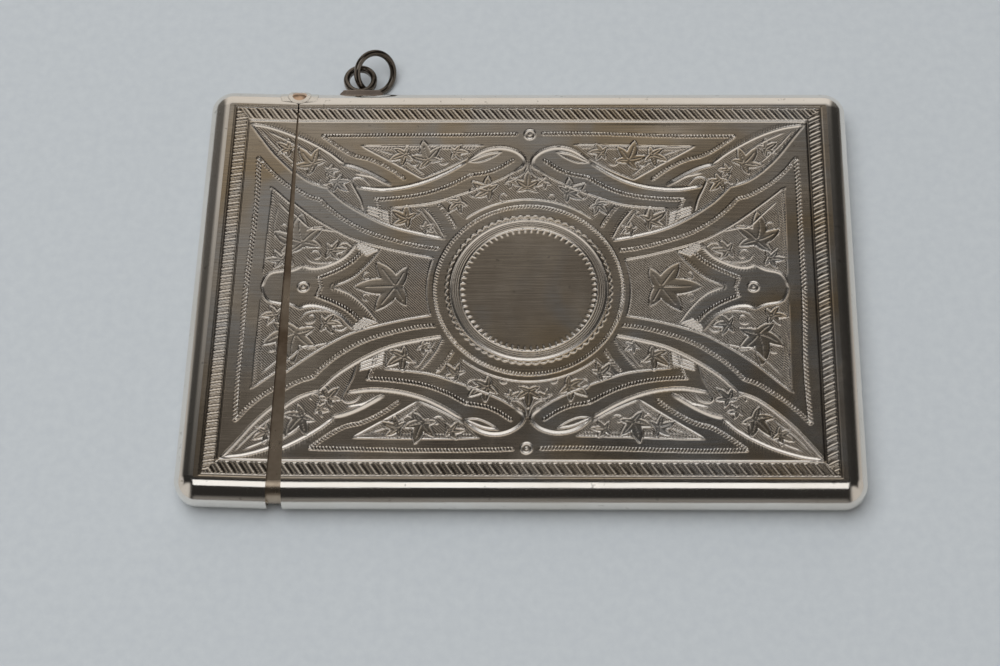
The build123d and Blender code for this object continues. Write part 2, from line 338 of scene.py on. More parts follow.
def engrave_straps(face):
    """The curved straps, their edges cut broad and bright, and the lines beside them."""
    groove(face, long_strap_top, 0.31, 0.09, lean=0.5)
    groove(face, long_strap_foot, 0.53, 0.135, lean=-0.6)
    groove(face, almond_top, 0.53, 0.135, lean=-0.6)
    groove(face, almond_foot, 0.52, 0.135, lean=-0.5)
    groove(face, almond_shoulder, 0.73, 0.144, lean=0.6)
    groove(face, scroll_strap_top, 0.31, 0.09, lean=0.4)
    groove(face, scroll_strap_foot, 0.57, 0.135, lean=-0.6)
    groove(face, scroll_head, 0.60, 0.144, lean=0.6)
    groove(face, [(4.2, 22.6), (5.6, 21.6), (7.2, 20.9), (8.8, 20.9)], 0.27, 0.072)
    groove(face, [(4.2, 22.6), (6.0, 22.3), (7.6, 21.6), (8.8, 20.9)], 0.38, 0.108, lean=0.5)
    groove(face, [(0.1, 20.8), (0.5, 19.2), (1.6, 18.2), (3.4, 17.3)], 0.27, 0.072)
    groove(face, hook, 0.36, 0.108, lean=0.3)
    groove(face, [(21.4, 17.5), (23.2, 18.6), (25.6, 19.2)], 0.47, 0.117, lean=0.5)
    groove(face, side_arc_foot, 0.60, 0.144, lean=0.6)
    groove(face, side_cusp, 0.47, 0.126, lean=0.5)
    groove(face, side_arc_top, 0.32, 0.09, lean=-0.3)
    groove(face, [(28.0, 4.3), (30.0, 4.0), (32.0, 4.3), (33.0, 5.4)], 0.31, 0.081, lean=0.4)
    groove(face, ring_panel_side, 0.32, 0.099, lean=0.3)
    groove(face, [(13.5, 8.7), (14.6, 10.7), (15.9, 13.0)], 0.27, 0.081)
    groove(face, [(37.8, 2.2), (37.8, 9.0), (37.8, 16.4)], 0.23, 0.081, bright=0.35)
    groove(face, [(36.6, 8.0), (36.9, 10.6), (36.6, 13.4)], 0.22, 0.072, bright=0.5)
    groove(face, [(28.6, 9.2), (31.0, 9.7), (32.4, 9.9), (34.4, 11.9), (36.6, 14.1)], 0.31, 0.09, lean=0.4)
    groove(face, [(20.2, 10.3), (20.3, 13.2)], 0.23, 0.072)
    groove(face, [(34.8, 21.0), (37.4, 23.4), (39.8, 26.2)], 0.27, 0.081)
    groove(face, [(32.6, 22.8), (35.6, 24.6), (38.6, 26.0)], 0.31, 0.09, lean=0.4)


def engrave_tendrils(face):
    """Stalks that join the leaves, each ending in a small curl: a circle's arc whose
    radius shrinks as it turns."""
    for u, v, start, turn, size in (
        (27.4, 6.2, 160, -300, 1.3), (31.4, 5.2, 40, 280, 1.0), (30.6, 17.9, 120, 300, 1.1),
        (33.6, 21.3, 300, -280, 1.0), (16.4, 12.6, 30, -290, 0.9), (3.4, 14.9, 250, 290, 0.9),
        (7.8, 15.4, 80, -280, 1.0), (12.6, 21.2, 200, 290, 0.9), (16.8, 21.0, 20, -300, 0.9),
        (23.6, 1.6, 100, -270, 0.8), (35.4, 9.6, 60, 290, 1.0),
    ):
        share = np.linspace(0, 1, 9)
        angle = np.radians(start + turn * share)
        radius = size * (1 - 0.7 * share)
        curl = np.column_stack([u + radius * np.cos(angle), v + radius * np.sin(angle)])
        groove(face, curl, 0.30, 0.10, lean=0.4, taper=0.5)


def engrave_shading(face):
    """Rows of short strokes that shade the straps where they pass under one another, and
    line the insides of the corner leaves and the triangles."""
    for points, reach, side, pitch in (
        (almond_foot, 0.95, -1, 0.42), (almond_top, 0.80, 1, 0.42), (long_strap_foot, 0.6, 1, 0.40),
        (scroll_strap_top, 0.55, -1, 0.38), (scroll_strap_foot, 0.50, 1, 0.38),
        (side_arc_foot, 0.8, -1, 0.40), (side_arc_top, 0.7, 1, 0.42), (long_strap_top, 0.5, -1, 0.44),
        ([(37.8, 4.0), (37.8, 9.0), (37.8, 15.6)], 0.8, 1, 0.46), (scroll_head, 0.55, 1, 0.36),
        ([(15.6, 18.5), (19.6, 21.1), (23.8, 23.5)], 0.8, 1, 0.42),
        ([(8.0, 23.7), (23.4, 23.8)], 0.6, -1, 0.40),
        ([(9.6, 21.6), (13, 19.5), (15.4, 18.5)], 0.5, -1, 0.40), (ring_panel_side, 0.6, 1, 0.38),
    ):
        comb(face, points, reach, side, pitch)


def engrave_triangles(face):
    """The long triangles beside the scrolls, with their doubled sides and hatched foot."""
    groove(face, long_triangle[1:3], 0.34, 0.10, lean=0.4)
    groove(face, long_triangle[2:4], 0.32, 0.10, lean=-0.4)
    groove(face, [(9.0, 21.6), (10.9, 20.3), (13, 19.2), (15.6, 18.1)], 0.30, 0.09)
    groove(face, [(15.4, 18.8), (17.2, 20.4), (20, 22.2), (22.4, 23.2)], 0.28, 0.08)
    foot = inside(face, [(8.0, 23.15), (22.4, 23.15), (24.2, 23.75), (7.4, 23.7)])
    hatch(face, foot, 20, 0.42, 0.07)
    block = inside(face, [(20.5, 10.5), (23.9, 12.3), (24.0, 13.5), (20.7, 12.8)])
    hatch(face, block, 110, 0.5, 0.09, 1.0)
    gate = inside(face, [(22.0, 5.9), (23.8, 5.0), (25.4, 6.4), (25.2, 7.5)])
    hatch(face, gate, 70, 0.4, 0.09, 1.0)


def engrave_wriggles(face):
    """The rocked lines that follow the straps and frame the panels."""
    for points in (
        long_strap_wriggle, long_strap_wriggle_end, scroll_strap_wriggle,
        scroll_strap_wriggle_end, side_arc_wriggle,
        [(22.6, 14.7), (22.1, 13.0), (21.8, 11.4)],
        [(10.4, 8.9), (11.2, 10.6), (12.2, 12.4), (13.0, 13.5)],
        [(2.0, 25.7), (16, 25.75), (30.8, 25.6)],
        [(30.8, 25.5), (28.6, 23.9), (26, 22.3), (23.4, 21.5), (20.6, 19.9), (18.4, 18.2)],
        [(30.7, 1.5), (30.3, 0.0)],
    ):
        wriggle(face, points)
    wriggle(face, [(40.0, 0.0), (40.0, 21.4)], width=0.72, pitch=0.62)


def engrave_dots(face):
    """Small ringed dots on the two axes."""
    for u, v in ((0.0, 25.6), (32.9, 0.0)):
        r = np.hypot(face.u - u, face.v - v)
        where = np.flatnonzero(np.abs(r - 0.75) < 0.2)
        face.cut(where, 0.10 * (1 - np.abs(r[where] - 0.75) / 0.2))
        where = np.flatnonzero(r < 0.3)
        face.cut(where, 0.07 * (1 - r[where] / 0.3))


def engrave_medallion(face):
    """The plain disc, its nicked edge, the turned moulding, scallops and rocked ring. The
    numbers are radii and widths in millimetres."""
    dx, dy = face.x - medallion_x, face.y - medallion_y
    r = np.hypot(dx, dy)
    angle = np.arctan2(dy, dx)
    tooth = np.abs(np.sin(angle * medallion_teeth + 0.35 * np.sin(3 * angle)))
    face.smooth(np.flatnonzero(r < 14.8))
    nick = np.flatnonzero((r > 9.2) & (r < 9.95))
    sharp = np.clip(1 - tooth[nick] / 0.62, 0, 1)
    face.cut(nick, 0.09 * sharp * np.clip((r[nick] - 9.2) / 0.5, 0, 1), 0.9 * (sharp > 0.1))
    for radius, width, depth, lean in ((10.02, 0.30, 0.12, 0.0), (10.42, 0.20, 0.05, 0.0),
                                       (10.72, 0.20, 0.05, 0.0), (11.00, 0.20, 0.05, 0.0),
                                       (11.38, 0.50, 0.15, 0.14)):
        off = r - radius - lean
        where = np.flatnonzero(np.abs(r - radius) < width / 2)
        slope = 1 - np.abs(off[where]) / (width / 2 + lean)
        # Painted shade on the outer side of the leaning moulding cut.
        face.cut(where, depth * np.clip(slope, 0, 1), 0.95, 0.7 * (off[where] > 0) * (lean > 0))
    scallop = np.flatnonzero((r > 11.6) & (r < 12.4))
    reach = 11.85 + 0.30 * tooth[scallop]
    face.cut(scallop, 0.08 * np.clip(1 - np.abs(r[scallop] - reach) / 0.14, 0, 1), 0.8)
    rocked = np.flatnonzero(np.abs(r - rocked_radius) < 0.28)
    out = r[rocked] - rocked_radius
    pitch = rocked_radius * 2 * math.pi / rocked_nicks
    wave = np.cos(2 * math.pi * (rocked_radius * angle[rocked] + 0.7 * out) / pitch)
    nicks = np.clip(1.7 * wave - 0.55, 0, 1) * np.clip(1.25 - (out / 0.28) ** 2, 0, 1)
    value = np.maximum(nicks, 0.8 * np.clip(1 - np.abs(out - 0.18) / 0.09, 0, 1))
    # Painted shade: the plate between the rocked nicks is painted dark.
    face.cut(rocked, 0.12 * value, np.clip(1.6 * value, 0, 1), 0.7 * (value < 0.2))
    fold = np.degrees(np.arctan2(face.v, face.u))
    rim_line = np.flatnonzero((np.abs(r - ring_radius) < 0.15) & ((fold < 17) | (fold > 51)))
    face.cut(rim_line, 0.09 * (1 - np.abs(r[rim_line] - ring_radius) / 0.15), 0.9)


def engrave_border(face):
    """The frame: lines round a band, and slanted cuts across it, mitred at the corners. A
    cut is a thin bright edge beside a wedge of painted shade, widest in the middle of the band,
    with a finer line between it and the next."""
    beyond_x, beyond_y = np.abs(face.x) - frame_x, np.abs(face.y) - frame_y
    outer = np.maximum(beyond_x, beyond_y)
    rail = beyond_y > beyond_x
    inner = np.maximum(beyond_x + band_x, beyond_y + band_y)
    for gap, width, depth, bright in ((outer, 0.22, 0.09, 0.1), (outer + 0.26, 0.22, 0.09, 1.0),
                                      (inner, 0.30, 0.10, 1.0), (inner - 0.30, 0.18, 0.06, 0.6)):
        where = np.flatnonzero(np.abs(gap) < width / 2)
        # Painted highlight and shade: the frame lines are bright only along the long sides, whose slopes
        # face the overhead light, and painted dark at the two ends; the outermost line is painted dark all
        # round.
        shine = np.where(rail[where], bright, 0.0)
        face.cut(where, depth * (1 - np.abs(gap[where]) / (width / 2)), shine, 0.7 * (shine < 0.2))
    band = np.flatnonzero((outer < -0.34) & (inner > 0.36))
    x, y = face.x[band], face.y[band]
    across = np.where(y > 0, (x + 0.75 * y) / 1.36, (x + 0.67 * y) / 1.53)
    beside = np.where(x > 0, (y - 0.50 * x) / 1.34, (y - 0.20 * x) / 1.22)
    phase = np.where(rail[band], across, beside) % 1
    middle = np.clip(np.minimum(-outer[band], inner[band]) / 1.0, 0.2, 1)
    edge = np.clip(1 - np.abs(phase - 0.15) / 0.10, 0, 1)
    wedge = np.clip(1 - np.abs(phase - 0.32) / (0.15 * middle), 0, 1)
    finer = np.clip(1 - np.abs(phase - 0.72) / 0.09, 0, 1)
    face.smooth(band)
    # Painted shade: each slanted cut's deep wedge is painted dark and the rest of the band a little
    # darker. The finer lines are brighter at the lid's end.
    face.cut(band, 0.02 + 0.12 * wedge, 0.0, np.where(wedge > 0, 1.0, 0.35))
    face.cut(band, 0.02 + 0.10 * edge, 0.8 * (edge > 0.2))
    face.cut(band, 0.02 + 0.06 * finer, np.where(x < -42, 0.6, 0.3) * (finer > 0.2))


def engraved(x, y):
    """Depth and marks of the whole engraving at sample points of the closed case."""
    face = Face(x, y)
    hatch_grounds(face)
    engrave_shading(face)
    engrave_triangles(face)
    engrave_tendrils(face)
    engrave_leaves(face)
    engrave_wriggles(face)
    engrave_straps(face)
    engrave_dots(face)
    engrave_medallion(face)
    engrave_border(face)
    return face


# ---------------------------------------------------------------- meshes

crease_angle = math.radians(62)


def turn_lid(points):
    """Turn closed-lid points about the hinge to where the lid stands open."""
    c, s = math.cos(ajar), math.sin(ajar)
    out = points.copy()
    dx, dy = points[:, 0] - hinge[0], points[:, 1] - hinge[1]
    out[:, 0] = hinge[0] + c * dx - s * dy
    out[:, 1] = hinge[1] + s * dx + c * dy
    return out


def make_object(name, points, faces, material):
    """A mesh object at the origin, its place in its vertices, given in millimetres."""
    mesh = bpy.data.meshes.new(name)
    mesh.from_pydata((points * MM).tolist(), [], [tuple(f) for f in faces])
    mesh.materials.append(material)
    mesh.polygons.foreach_set("use_smooth", np.full(len(mesh.polygons), True))
    mesh.set_sharp_from_angle(angle=crease_angle)
    mesh.validate()
    mesh.update()
    piece = bpy.data.objects.new(name, mesh)
    bpy.context.scene.collection.objects.link(piece)
    return piece


def grid_faces(rows, columns, start=0, flip=False):
    """Quads of a grid whose points run along the columns first."""
    index = start + np.arange(rows * columns).reshape(rows, columns)
    quads = np.stack([index[:-1, :-1], index[:-1, 1:], index[1:, 1:], index[1:, :-1]], -1)
    quads = quads.reshape(-1, 4)
    return quads[:, ::-1] if flip else quads


def set_attribute(piece, name, values):
    """One number for each vertex, for the material to read."""
    layer = piece.data.attributes.new(name, "FLOAT", "POINT")
    layer.data.foreach_set("value", values.astype(np.float32))


def sag(x, y):
    """How far the thin sheet has sunk: slow waves and one shallow dent by the far rim,
    fading to nothing at the outline."""
    waves = 0.5 + 0.25 * np.sin(0.11 * x + 0.05 * y) + 0.25 * np.sin(0.07 * x - 0.16 * y + 1.3)
    dent = np.exp(-((x - 19) / 6) ** 2 - ((y - 27.5) / 3.0) ** 2)
    inset = np.minimum(flat_x - np.abs(x), flat_y - np.abs(y))
    return (0.05 * waves + 0.10 * dent) * np.clip(inset / 3.5, 0, 1) ** 2


def plate(name, low_x, high_x, material, lid=False):
    """A slab of the engraved face: a height grid under the face's plane, flat inside.

    The grid's two outer corners at the closed ends are drawn in to the rim's small
    inner radius: a square's ring of points becomes a quarter circle's.
    """
    columns = int(round((high_x - low_x) / cell)) + 1
    rows = int(round(2 * flat_y / cell)) + 1
    gx, gy = np.meshgrid(np.linspace(low_x, high_x, columns), np.linspace(-flat_y, flat_y, rows))
    x, y = gx.ravel(), gy.ravel()
    face = engraved(x, y)
    cx, cy = flat_x - corner_extra, flat_y - corner_extra
    dx, dy = np.abs(x) - cx, np.abs(y) - cy
    corner = (dx > 0) & (dy > 0)
    shrink = np.ones_like(x)
    shrink[corner] = np.maximum(dx, dy)[corner] / np.hypot(dx, dy)[corner]
    px = np.where(corner, np.sign(x) * (cx + dx * shrink), x)
    py = np.where(corner, np.sign(y) * (cy + dy * shrink), y)
    edge = np.minimum(flat_y - np.abs(y), flat_x - np.abs(x))
    depth = face.depth * np.clip(edge / 0.15, 0, 1)
    points = np.column_stack([px, py, thickness - depth - sag(x, y)])
    border = np.concatenate([
        np.arange(columns), np.arange(1, rows) * columns + columns - 1,
        (rows - 1) * columns + np.arange(columns - 2, -1, -1),
        np.arange(rows - 2, 0, -1) * columns,
    ])
    under = points[border].copy()
    under[:, 2] = thickness - wall
    first = len(points)
    low = first + np.arange(len(border))
    sides = np.column_stack([low, np.roll(low, -1), np.roll(border, -1), border])
    faces = grid_faces(rows, columns).tolist() + sides.tolist() + [low[::-1].tolist()]
    points = np.vstack([points, under])
    points = turn_lid(points) if lid else points
    piece = make_object(name, points, faces, material)
    blank = np.zeros(len(border))
    bright = face.bright * np.clip(depth / 0.03, 0, 1)
    # cut: clean cut metal, with a painted highlight on the frame's long sides; dark: painted shade.
    for mark, values in (("cut", bright), ("ground", face.ground), ("dark", face.dark)):
        set_attribute(piece, mark, np.concatenate([values, blank]))
    bake_map(piece, points, first, columns, rows)
    return piece


def bake_map(piece, points, first, columns, rows):
    """A flat UV map for the grid, with its sides and underside in a thin strip beside it."""
    mesh = piece.data
    loops = np.zeros(len(mesh.loops), np.int32)
    mesh.loops.foreach_get("vertex_index", loops)
    u = (loops % columns) / (columns - 1) * 0.96
    v = (loops // columns) / (rows - 1)
    starts = np.zeros(len(mesh.polygons), np.int32)
    totals = np.zeros(len(mesh.polygons), np.int32)
    mesh.polygons.foreach_get("loop_start", starts)
    mesh.polygons.foreach_get("loop_total", totals)
    low_loop = np.maximum.reduceat(loops, starts) >= first
    rest = np.repeat(low_loop, totals)
    around = np.where(loops >= first, loops - first, 0) / max(1, len(points) - first)
    u = np.where(rest, 0.98 + 0.015 * (loops >= first), u)
    v = np.where(rest, around, v)
    layer = mesh.uv_layers.new(name="OFBake")
    layer.data.foreach_set("uv", np.column_stack([u, v]).astype(np.float32).ravel())


def rim_path(low_x, high_x, steps):
    """Stations round one end of the flat face, from the +Y side to the -Y side: the
    inner outline's points and its outward directions. A negative high_x is the lid's end."""
    end = 1 if high_x > 0 else -1
    cx, cy = abs(high_x) - corner_extra, flat_y - corner_extra
    across = np.linspace(0, 1, steps + 1)
    arc = np.radians(np.linspace(90, 0, 25))
    straight = np.linspace(cy, -cy, steps // 2 + 1)[1:-1]
    flat = np.ones(len(straight))
    round_x, round_y = corner_extra * np.cos(arc), corner_extra * np.sin(arc)
    px = np.concatenate([low_x + (end * cx - low_x) * across[:-1], end * (cx + round_x),
                         end * (cx + corner_extra) * flat, end * (cx + round_x[::-1]),
                         end * cx + (low_x - end * cx) * across[1:]])
    py = np.concatenate([np.full(steps, flat_y), cy + round_y, straight,
                         -cy - round_y[::-1], np.full(steps, -flat_y)])
    nx = np.concatenate([np.zeros(steps), end * np.cos(arc), end * flat,
                         end * np.cos(arc[::-1]), np.zeros(steps)])
    ny = np.concatenate([np.ones(steps), np.sin(arc), np.zeros(len(straight)),
                         -np.sin(arc[::-1]), -np.ones(steps)])
    return np.column_stack([px, py]), np.column_stack([nx, ny])


def notch_x(y, side):
    """How far from the hinge the rim starts at each height across it: outside the bearer's
    circle, or outside the barrel's where the bearer's foot ends."""
    dy = y - hinge[1]
    bearer = np.sqrt(np.clip(notch_radius ** 2 - dy ** 2, 0, None))
    barrel = np.sqrt(np.clip(seat_radius ** 2 - dy ** 2, 0, None))
    gap = abs(mouth_x - hinge[0])
    return hinge[0] + side * np.maximum(np.where(dy > -bearer_floor, bearer, barrel), gap)


def shoulder(inset):
    """The rim's profile, from the flat to the seam: three arcs one after another, each
    turning the surface further over, a firm one, a slower one and a tight one, and then
    an upright land. The inset moves it inwards by the sheet's wall."""
    reach, height, tilt = [0.0], [seam_z * 2], [0.0]
    for radius, start, end in ((2.8, 0, 28), (3.9, 28, 58), (0.7, 58, 90)):
        a = np.radians(np.linspace(start, end, 9))
        reach.extend(reach[-1] + radius * (np.sin(a[1:]) - np.sin(a[0])))
        height.extend(height[-1] - radius * (np.cos(a[0]) - np.cos(a[1:])))
        tilt.extend(a[1:])
    reach, height = np.array(reach), np.array(height)
    reach *= rim_radius / reach[-1]
    reach, height = reach - inset * np.sin(tilt), height - inset * np.cos(tilt)
    return np.append(reach, reach[-1]), np.append(height, seam_z)


def rim(name, low_x, high_x, material, lid=False):
    """Half of the rounded rim: the shoulder's profile carried round the end of the case,
    and the same inside at the wall's depth. On the hinge's side each row of the profile
    starts at its own notch_x."""
    path, out = rim_path(low_x, high_x, 80)
    side = 1 if high_x > 0 else -1
    on_side = (out[:, 1] > 0.999) & (side * (high_x - path[:, 0]) > 2 * corner_extra)
    last = side * (side * path[on_side, 0]).max()
    share = (path[on_side, None, 0] - low_x) / (last - low_x)
    rings = []
    for inset in (0.0, wall):
        reach, height = shoulder(inset)
        x = path[:, None, 0] + out[:, None, 0] * reach
        y = path[:, None, 1] + out[:, None, 1] * reach
        z = np.broadcast_to(height, x.shape)
        begin = notch_x(y[0], side)
        x[on_side] = begin + (last - begin) * np.clip(share, 0, 1)
        rings.append(np.stack([x, y, z], -1))
    rows, columns = rings[0].shape[:2]
    points = np.vstack([r.reshape(-1, 3) for r in rings])
    count = rows * columns
    a = np.arange(count).reshape(rows, columns)
    b = a + count
    faces = [grid_faces(rows, columns), grid_faces(rows, columns, count, flip=True)]
    for first, second in ((a[:, 0], b[:, 0]), (b[:, -1], a[:, -1]), (b[0], a[0]), (a[-1], b[-1])):
        faces.append(np.column_stack([first[:-1], second[:-1], second[1:], first[1:]]))
    faces = np.vstack(faces)
    if side < 0:
        faces = faces[:, ::-1]
    points = turn_lid(points) if lid else points
    return make_object(name, points, faces.tolist(), material)


# ---------------------------------------------------------------- materials

class Shade:
    """A material's node tree, with short calls to add a node, set a socket and join two."""

    def __init__(self, tree):
        self.tree = tree

    def feed(self, socket, value):
        """Join a socket to another node's output, or give it a constant."""
        if isinstance(value, bpy.types.NodeSocket):
            self.tree.links.new(value, socket)
        elif value is not None:
            socket.default_value = value

    def add(self, kind, **sockets):
        """A new node with its sockets or its own settings given by name."""
        node = self.tree.nodes.new(kind)
        for key, value in sockets.items():
            self.put(node, key, value)
        return node

    def put(self, node, key, value):
        """Set a node's own setting, or feed the socket of that name."""
        if hasattr(node, key) and key not in node.inputs:
            setattr(node, key, value)
            return
        spaced = key.replace("_", " ")
        self.feed(node.inputs[spaced if spaced in node.inputs else key], value)

    def math(self, operation, first, second=None, third=None):
        """One math node's result."""
        node = self.tree.nodes.new("ShaderNodeMath")
        node.operation = operation
        for socket, value in zip(node.inputs, (first, second, third)):
            self.feed(socket, value)
        return node.outputs[0]

    def mix(self, share, first, second):
        """Two colours mixed by a share."""
        node = self.tree.nodes.new("ShaderNodeMix")
        node.data_type = "RGBA"
        for index, value in ((0, share), (6, first), (7, second)):
            self.feed(node.inputs[index], value)
        return node.outputs[2]

    def ramp(self, value, stops, smooth=False):
        """A value moved from the first two stops to the last two, held at its ends."""
        node = self.tree.nodes.new("ShaderNodeMapRange")
        if smooth:
            node.interpolation_type = "SMOOTHSTEP"
        self.feed(node.inputs[0], value)
        for socket, number in zip(node.inputs[1:5], stops):
            socket.default_value = number
        return node.outputs[0]


def new_group(name, numbers, outputs):
    """An empty node group with number inputs and the outputs named, and its Shade."""
    tree = bpy.data.node_groups.new(name, "ShaderNodeTree")
    for label, value in numbers:
        socket = tree.interface.new_socket(label, in_out="INPUT", socket_type="NodeSocketFloat")
        socket.default_value = value
    for label in outputs:
        tree.interface.new_socket(label, in_out="OUTPUT", socket_type="NodeSocketFloat")
    return tree, Shade(tree), tree.nodes.new("NodeGroupInput"), tree.nodes.new("NodeGroupOutput")


def build_handling():
    """Handling marks of old silver: brushed strokes, random scratches, clouds of tarnish
    and small dark specks, all from the object's own coordinates in metres."""
    tree, s, start, end = new_group(
        "handling_marks", [("Brush", 1.0), ("Turn", 0.0)],
        ["Brushing", "Scratches", "Clouds", "Specks"])
    place = s.add("ShaderNodeTexCoord").outputs["Object"]
    turned = s.add("ShaderNodeVectorRotate", rotation_type="Z_AXIS", Vector=place)
    s.put(turned, "Angle", start.outputs["Turn"])
    stretch = s.add("ShaderNodeMapping", Vector=turned.outputs[0], Scale=(140, 4200, 1400))
    strokes = s.add("ShaderNodeTexNoise", Vector=stretch.outputs[0], Scale=1.0, Detail=3.0, Roughness=0.6)
    brushed = s.math("MULTIPLY", strokes.outputs[0], start.outputs["Brush"])
    scratches = None
    for angle, width, density in ((0.5, 900, 30), (-0.75, 1100, 36), (1.9, 800, 24)):
        spin = s.add("ShaderNodeVectorRotate", rotation_type="Z_AXIS", Vector=place, Angle=angle)
        warp = s.add("ShaderNodeMapping", Vector=spin.outputs[0], Scale=(density, width, width))
        lines = s.add("ShaderNodeTexVoronoi", Vector=warp.outputs[0], Scale=1.0)
        s.put(lines, "feature", "DISTANCE_TO_EDGE")
        thin = s.ramp(lines.outputs[0], (0.0, 0.035, 1.0, 0.0))
        patch = s.add("ShaderNodeTexNoise", Vector=place, Scale=90.0 + 40 * angle, Detail=1.0)
        thin = s.math("MULTIPLY", thin, s.ramp(patch.outputs[0], (0.52, 0.66, 0.0, 1.0)))
        scratches = thin if scratches is None else s.math("MAXIMUM", scratches, thin)
    cloud = s.add("ShaderNodeTexNoise", Vector=place, Scale=60.0, Detail=5.0, Roughness=0.62)
    clouds = s.ramp(cloud.outputs[0], (0.36, 0.66, 0.0, 1.0))
    speck = s.add("ShaderNodeTexNoise", Vector=place, Scale=900.0, Detail=2.0, Roughness=0.7)
    specks = s.ramp(speck.outputs[0], (0.66, 0.74, 0.0, 1.0))
    for label, value in (("Brushing", brushed), ("Scratches", scratches), ("Clouds", clouds),
                         ("Specks", specks)):
        s.put(end, label, value)
    return tree


handling = build_handling()


def new_material(name):
    """A material with an empty principled shader, and the Shade that fills it."""
    material = bpy.data.materials.new(name)
    material.use_nodes = True
    s = Shade(material.node_tree)
    skin = material.node_tree.nodes["Principled BSDF"]
    return material, s, skin


def marks(s, brush):
    """The handling marks, placed in a material with its own strength of brushing."""
    node = s.tree.nodes.new("ShaderNodeGroup")
    node.node_tree = handling
    node.inputs["Brush"].default_value = brush
    return node.outputs


def bump(s, skin, height):
    """A fine relief on the surface's normal: a height of 1 is 0.04 mm, at half strength."""
    node = s.add("ShaderNodeBump", Strength=0.5, Distance=0.00004, Height=height)
    s.put(skin, "Normal", node.outputs[0])


def engraved_silver():
    """The face: grey-brown brushed flats, bright clean cuts, hatched dark grounds and painted shade."""
    material, s, skin = new_material("engraved_silver")
    m = marks(s, 1.0)
    cut = s.add("ShaderNodeAttribute", attribute_name="cut").outputs["Fac"]
    ground = s.add("ShaderNodeAttribute", attribute_name="ground").outputs["Fac"]
    place = s.add("ShaderNodeTexCoord").outputs["Object"]
    strokes = s.add("ShaderNodeTexWave", Vector=place, Scale=1500.0, Distortion=2.4, Detail=1.0)
    s.put(strokes, "Detail Scale", 0.35)
    s.put(strokes, "bands_direction", "DIAGONAL")
    hatch_line = s.math("MULTIPLY", s.ramp(strokes.outputs["Fac"], (0.45, 0.9, 0.0, 1.0)), ground)
    hatch_line = s.math("MULTIPLY", hatch_line, s.math("SUBTRACT", 1.0, cut))
    dark = s.add("ShaderNodeAttribute", attribute_name="dark").outputs["Fac"]
    stain = s.add("ShaderNodeTexNoise", Vector=place, Scale=38.0, Detail=4.0, Roughness=0.55)
    stained = s.ramp(stain.outputs[0], (0.47, 0.62, 0.0, 0.85))
    tint = s.add("ShaderNodeTexNoise", Vector=place, Scale=55.0, Detail=3.0, Distortion=0.6)
    cool = s.ramp(tint.outputs[0], (0.50, 0.64, 0.0, 0.8))
    flat = s.mix(m["Clouds"], (0.60, 0.515, 0.42, 1), (0.75, 0.67, 0.57, 1))
    flat = s.mix(stained, flat, (0.55, 0.43, 0.28, 1))
    flat = s.mix(cool, flat, (0.54, 0.55, 0.56, 1))
    flat = s.mix(s.ramp(m["Brushing"], (0.42, 0.62, 0.0, 0.45)), flat, (0.50, 0.43, 0.34, 1))
    flat = s.mix(s.math("MULTIPLY", ground, 0.55), flat, (0.34, 0.28, 0.22, 1))
    flat = s.mix(s.math("MULTIPLY", hatch_line, 0.45), flat, (0.90, 0.87, 0.81, 1))
    flat = s.mix(s.math("MULTIPLY", m["Specks"], 0.5), flat, (0.30, 0.26, 0.22, 1))
    # Clean cut metal is lighter than the flats; along the frame's long sides this is also a painted
    # highlight.
    colour = s.mix(cut, flat, (0.95, 0.89, 0.82, 1))
    # Painted shade from the dark mark: steep cut walls, gaps between nicks and strokes, border wedges and
    # rings round the leaves.
    colour = s.mix(s.math("MULTIPLY", dark, 0.72), colour, (0.15, 0.12, 0.09, 1))
    s.put(skin, "Base Color", colour)
    s.put(skin, "Metallic", 1.0)
    rough = s.math("ADD", 0.19, s.math("MULTIPLY", m["Clouds"], 0.06))
    rough = s.math("ADD", rough, s.math("MULTIPLY", m["Scratches"], 0.02))
    rough = s.math("ADD", rough, s.math("MULTIPLY", s.math("MAXIMUM", cut, hatch_line), 0.03))
    s.put(skin, "Roughness", rough)
    height = s.math("MULTIPLY", m["Brushing"], 0.26)
    height = s.math("SUBTRACT", height, s.math("MULTIPLY", m["Scratches"], 0.015))
    height = s.math("SUBTRACT", height, s.math("MULTIPLY", hatch_line, 0.8))
    bump(s, skin, height)
    return material


def plain_silver(name, base, tarnish, rough, brush=0.6, tarnish_share=0.5, scratch=0.35,
                 around=False):
    """Plain silver with its own tint: rims, wings and barrel. Around makes the brushing
    run along the rim, so it turns at the two ends of the case."""
    material, s, skin = new_material(name)
    m = marks(s, brush)
    if around:
        place = s.add("ShaderNodeSeparateXYZ", Vector=s.add("ShaderNodeTexCoord").outputs["Object"])
        end = s.math("GREATER_THAN", s.math("ABSOLUTE", place.outputs["X"]), flat_x * MM)
        turned = s.math("MULTIPLY", end, math.pi / 2)
        s.tree.links.new(turned, m["Brushing"].node.inputs["Turn"])
    colour = s.mix(s.math("MULTIPLY", m["Clouds"], tarnish_share), base, tarnish)
    dark = tuple(0.42 * c for c in tarnish[:3]) + (1,)
    colour = s.mix(s.math("MULTIPLY", m["Specks"], 0.55), colour, dark)
    s.put(skin, "Base Color", colour)
    s.put(skin, "Metallic", 1.0)
    value = s.math("ADD", 0.8 * rough, s.math("MULTIPLY", m["Clouds"], 0.4 * rough))
    value = s.math("ADD", value, s.math("MULTIPLY", m["Scratches"], 0.03))
    s.put(skin, "Roughness", value)
    height = s.math("MULTIPLY", m["Brushing"], 0.25)
    height = s.math("SUBTRACT", height, s.math("MULTIPLY", m["Scratches"], scratch))
    bump(s, skin, height)
    return material


def floor_material():
    """A pale matt table top, a touch blue, with a faint grain."""
    material, s, skin = new_material("pale_table")
    place = s.add("ShaderNodeTexCoord").outputs["Object"]
    grain = s.add("ShaderNodeTexNoise", Vector=place, Scale=700.0, Detail=3.0)
    s.put(skin, "Base Color", s.mix(s.ramp(grain.outputs[0], (0.3, 0.7, 0.0, 1.0)),
                                    (0.60, 0.645, 0.685, 1), (0.64, 0.685, 0.72, 1)))
    skin.inputs["Roughness"].default_value = 0.75
    return material


